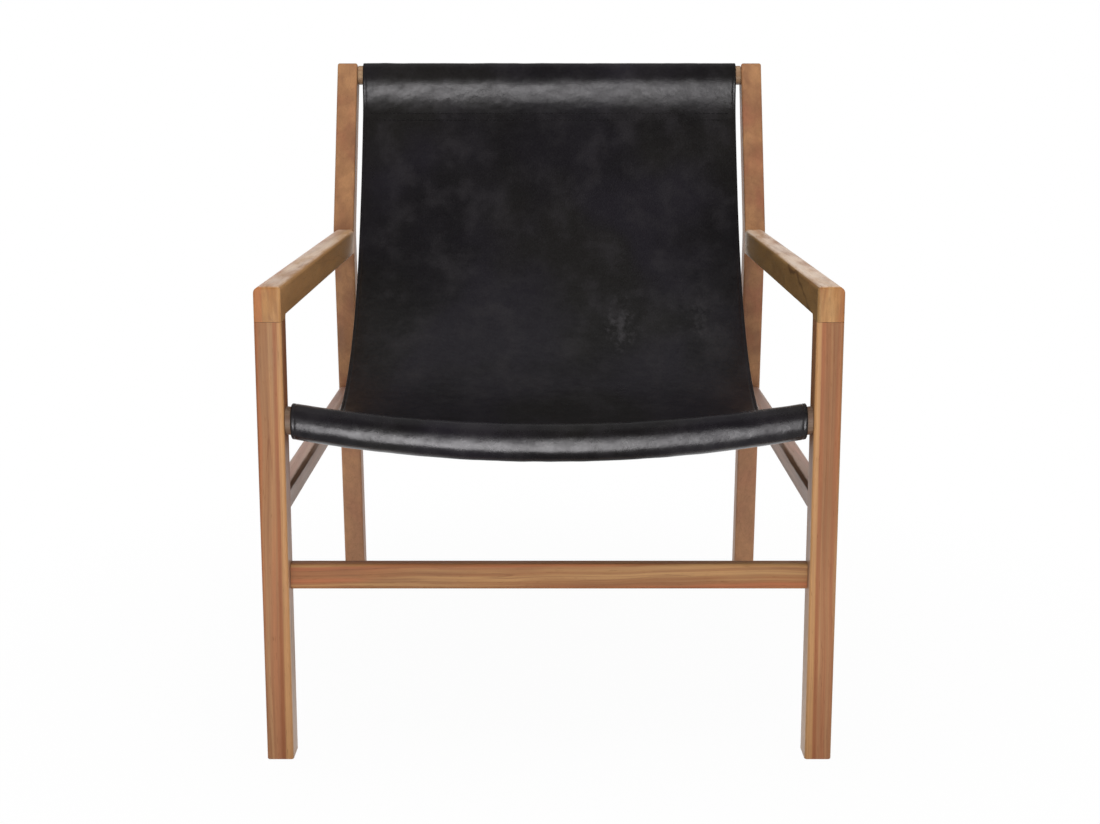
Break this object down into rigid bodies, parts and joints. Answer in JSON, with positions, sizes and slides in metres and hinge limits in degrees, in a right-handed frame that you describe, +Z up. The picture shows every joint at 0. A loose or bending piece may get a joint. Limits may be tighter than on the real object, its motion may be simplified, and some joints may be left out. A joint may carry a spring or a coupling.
{
  "type": "leather sling lounge chair",
  "caption": "Low lounge chair: a rigid timber frame with flat arms, and one hide slung as seat and back between a bowed front rail and a straight top rail.",
  "frame": {"origin": "on the floor, under the middle of the chair's width and depth", "axes": "+X to the sitter's left, +Y to the back of the chair, +Z up"},
  "size_m": [0.64, 0.8458, 0.7826],
  "materials": {
    "leg_timber": "oiled, light reddish brown",
    "arm_timber": "oiled, light reddish brown",
    "rail_timber": "oiled, light reddish brown",
    "dowel_timber": "raw",
    "dark_leather": "smooth, satin, charcoal black"
  },
  "bodies": {
    "root": {"front_leg_left": "leg_timber", "front_leg_right": "leg_timber", "back_leg_left": "leg_timber", "back_leg_right": "leg_timber", "arm_left": "arm_timber", "arm_right": "arm_timber", "side_rail_left": "rail_timber", "side_rail_right": "rail_timber", "front_stretcher": "rail_timber", "back_stretcher": "rail_timber", "seat_front_rail": "rail_timber", "top_rail": "rail_timber", "arm_dowel_front_left_a": "dowel_timber", "arm_dowel_front_left_b": "dowel_timber", "arm_dowel_rear_left_a": "dowel_timber", "arm_dowel_rear_left_b": "dowel_timber", "arm_dowel_front_right_a": "dowel_timber", "arm_dowel_front_right_b": "dowel_timber", "arm_dowel_rear_right_a": "dowel_timber", "arm_dowel_rear_right_b": "dowel_timber", "sling": "dark_leather"}
  },
  "joints": []
}
